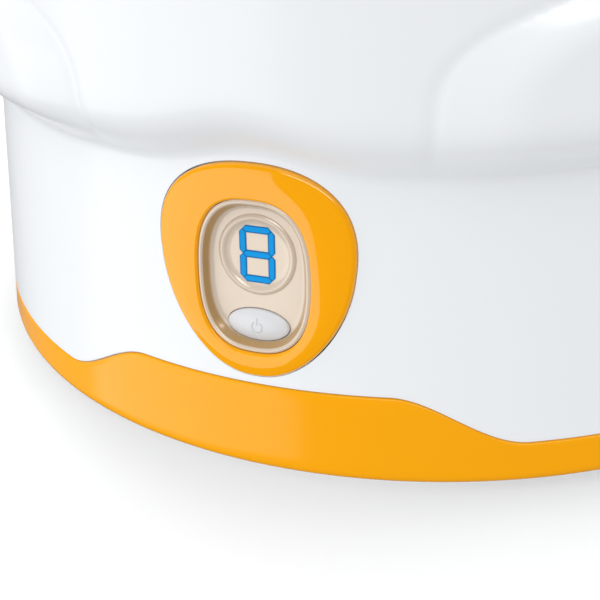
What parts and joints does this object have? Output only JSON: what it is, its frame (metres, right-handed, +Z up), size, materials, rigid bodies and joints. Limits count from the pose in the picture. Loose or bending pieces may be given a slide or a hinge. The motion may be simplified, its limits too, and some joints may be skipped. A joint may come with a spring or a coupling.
{
  "type": "yogurt maker",
  "caption": "Round electric yogurt maker with lidded glass jars in a heated well, a clear domed lid and a front panel with a digit display and a power button.",
  "frame": {"origin": "on the surface the machine stands on, under the centre of its round casing", "axes": "+Z up; the control panel faces -Y; +X to the right as seen from the front's back, with the grips at +X and -X"},
  "size_m": [0.2582, 0.2521, 0.1665],
  "materials": {
    "white_casing": "moulded ABS, high gloss white",
    "orange_trim": "moulded ABS, high gloss orange",
    "grey_base": "moulded polypropylene, fine matt",
    "well_white": "moulded polypropylene, satin",
    "silicone_seal": "translucent silicone",
    "aluminium_plate": "rolled aluminium sheet",
    "heater_steel": "steel tube and pressed steel",
    "mica_board": "pressed mica board",
    "component_white": "ceramic body",
    "component_dark": "moulded epoxy",
    "component_blue": "moulded relay case",
    "window_champagne": "champagne moulded panel, pearl gloss",
    "display_lens": "clear tinted acrylic",
    "display_blue": "blue seven-segment digit",
    "circuit_board": "epoxy glass board, green resist",
    "terminal_green": "moulded polyamide",
    "wire_grey": "PVC insulation",
    "wire_red": "silicone insulation",
    "wire_white": "silicone insulation",
    "gland_rubber": "moulded light grey rubber",
    "button_grey": "moulded ABS, satin pale grey",
    "clear_lid": "clear polycarbonate",
    "zinc_screw": "zinc-plated steel",
    "foot_rubber": "moulded rubber",
    "jar_glass": "clear pressed glass",
    "jar_cap": "moulded polypropylene, satin white"
  },
  "bodies": {
    "root": {"housing": "white_casing", "base_ring": "orange_trim", "base_plate": "grey_base", "inner_well": "well_white", "well_seal": "silicone_seal", "heating_plate": "aluminium_plate", "heating_element": "heater_steel", "plate_insulator": "mica_board", "thermostat": "heater_steel", "thermal_fuse": "component_white", "temperature_sensor": "component_dark", "control_bezel": "orange_trim", "display_window": "window_champagne", "display_lens": "display_lens", "display_module": "display_blue", "control_board": "circuit_board", "tact_switch": "component_dark", "power_board": "circuit_board", "transformer": "component_dark", "relay": "component_blue", "capacitor": "component_dark", "buzzer": "component_dark", "terminal_block": "terminal_green", "display_lead": "wire_grey", "heater_lead_live": "wire_red", "heater_lead_neutral": "wire_white", "cord_gland": "gland_rubber", "foot_1": "foot_rubber", "base_screw_1": "zinc_screw", "foot_2": "foot_rubber", "base_screw_2": "zinc_screw", "foot_3": "foot_rubber", "base_screw_3": "zinc_screw", "foot_4": "foot_rubber", "base_screw_4": "zinc_screw"},
    "power_button": {"power_button": "button_grey", "switch_plunger": "component_dark"},
    "lid": {"lid_dome": "clear_lid", "lid_knob": "orange_trim", "lid_knob_screw": "zinc_screw"},
    "jar_1": {"jar_1": "jar_glass"},
    "jar_lid_1": {"jar_lid_1": "jar_cap"},
    "jar_2": {"jar_2": "jar_glass"},
    "jar_lid_2": {"jar_lid_2": "jar_cap"},
    "jar_3": {"jar_3": "jar_glass"},
    "jar_lid_3": {"jar_lid_3": "jar_cap"},
    "jar_4": {"jar_4": "jar_glass"},
    "jar_lid_4": {"jar_lid_4": "jar_cap"},
    "jar_5": {"jar_5": "jar_glass"},
    "jar_lid_5": {"jar_lid_5": "jar_cap"},
    "jar_6": {"jar_6": "jar_glass"},
    "jar_lid_6": {"jar_lid_6": "jar_cap"},
    "jar_7": {"jar_7": "jar_glass"},
    "jar_lid_7": {"jar_lid_7": "jar_cap"}
  },
  "joints": [
    {"name": "lid_lift", "type": "slide", "parent": "root", "child": "lid", "axis": [0, 0, 1], "range_m": [0, 0.25]},
    {"name": "power_button_press", "type": "slide", "parent": "root", "child": "power_button", "axis": [0, 0.9941, -0.1083], "range_m": [0, 0.0008], "stiffness_N_per_m": 1000, "springref_m": -0.0004},
    {"name": "jar_1_lift", "type": "slide", "parent": "root", "child": "jar_1", "axis": [0, 0, 1], "range_m": [0, 0.11]},
    {"name": "jar_lid_1_lift", "type": "slide", "parent": "jar_1", "child": "jar_lid_1", "axis": [0, 0, 1], "range_m": [0, 0.045]},
    {"name": "jar_2_lift", "type": "slide", "parent": "root", "child": "jar_2", "axis": [0, 0, 1], "range_m": [0, 0.11]},
    {"name": "jar_lid_2_lift", "type": "slide", "parent": "jar_2", "child": "jar_lid_2", "axis": [0, 0, 1], "range_m": [0, 0.045]},
    {"name": "jar_3_lift", "type": "slide", "parent": "root", "child": "jar_3", "axis": [0, 0, 1], "range_m": [0, 0.11]},
    {"name": "jar_lid_3_lift", "type": "slide", "parent": "jar_3", "child": "jar_lid_3", "axis": [0, 0, 1], "range_m": [0, 0.045]},
    {"name": "jar_4_lift", "type": "slide", "parent": "root", "child": "jar_4", "axis": [0, 0, 1], "range_m": [0, 0.11]},
    {"name": "jar_lid_4_lift", "type": "slide", "parent": "jar_4", "child": "jar_lid_4", "axis": [0, 0, 1], "range_m": [0, 0.045]},
    {"name": "jar_5_lift", "type": "slide", "parent": "root", "child": "jar_5", "axis": [0, 0, 1], "range_m": [0, 0.11]},
    {"name": "jar_lid_5_lift", "type": "slide", "parent": "jar_5", "child": "jar_lid_5", "axis": [0, 0, 1], "range_m": [0, 0.045]},
    {"name": "jar_6_lift", "type": "slide", "parent": "root", "child": "jar_6", "axis": [0, 0, 1], "range_m": [0, 0.11]},
    {"name": "jar_lid_6_lift", "type": "slide", "parent": "jar_6", "child": "jar_lid_6", "axis": [0, 0, 1], "range_m": [0, 0.045]},
    {"name": "jar_7_lift", "type": "slide", "parent": "root", "child": "jar_7", "axis": [0, 0, 1], "range_m": [0, 0.11]},
    {"name": "jar_lid_7_lift", "type": "slide", "parent": "jar_7", "child": "jar_lid_7", "axis": [0, 0, 1], "range_m": [0, 0.045]}
  ],
  "couplings": [
    {"joint": "jar_1_lift", "follows": "lid_lift", "ratio": 0.44},
    {"joint": "jar_lid_1_lift", "follows": "lid_lift", "ratio": 0.18},
    {"joint": "jar_2_lift", "follows": "lid_lift", "ratio": 0.44},
    {"joint": "jar_lid_2_lift", "follows": "lid_lift", "ratio": 0.18},
    {"joint": "jar_3_lift", "follows": "lid_lift", "ratio": 0.44},
    {"joint": "jar_lid_3_lift", "follows": "lid_lift", "ratio": 0.18},
    {"joint": "jar_4_lift", "follows": "lid_lift", "ratio": 0.44},
    {"joint": "jar_lid_4_lift", "follows": "lid_lift", "ratio": 0.18},
    {"joint": "jar_5_lift", "follows": "lid_lift", "ratio": 0.44},
    {"joint": "jar_lid_5_lift", "follows": "lid_lift", "ratio": 0.18},
    {"joint": "jar_6_lift", "follows": "lid_lift", "ratio": 0.44},
    {"joint": "jar_lid_6_lift", "follows": "lid_lift", "ratio": 0.18},
    {"joint": "jar_7_lift", "follows": "lid_lift", "ratio": 0.44},
    {"joint": "jar_lid_7_lift", "follows": "lid_lift", "ratio": 0.18}
  ]
}
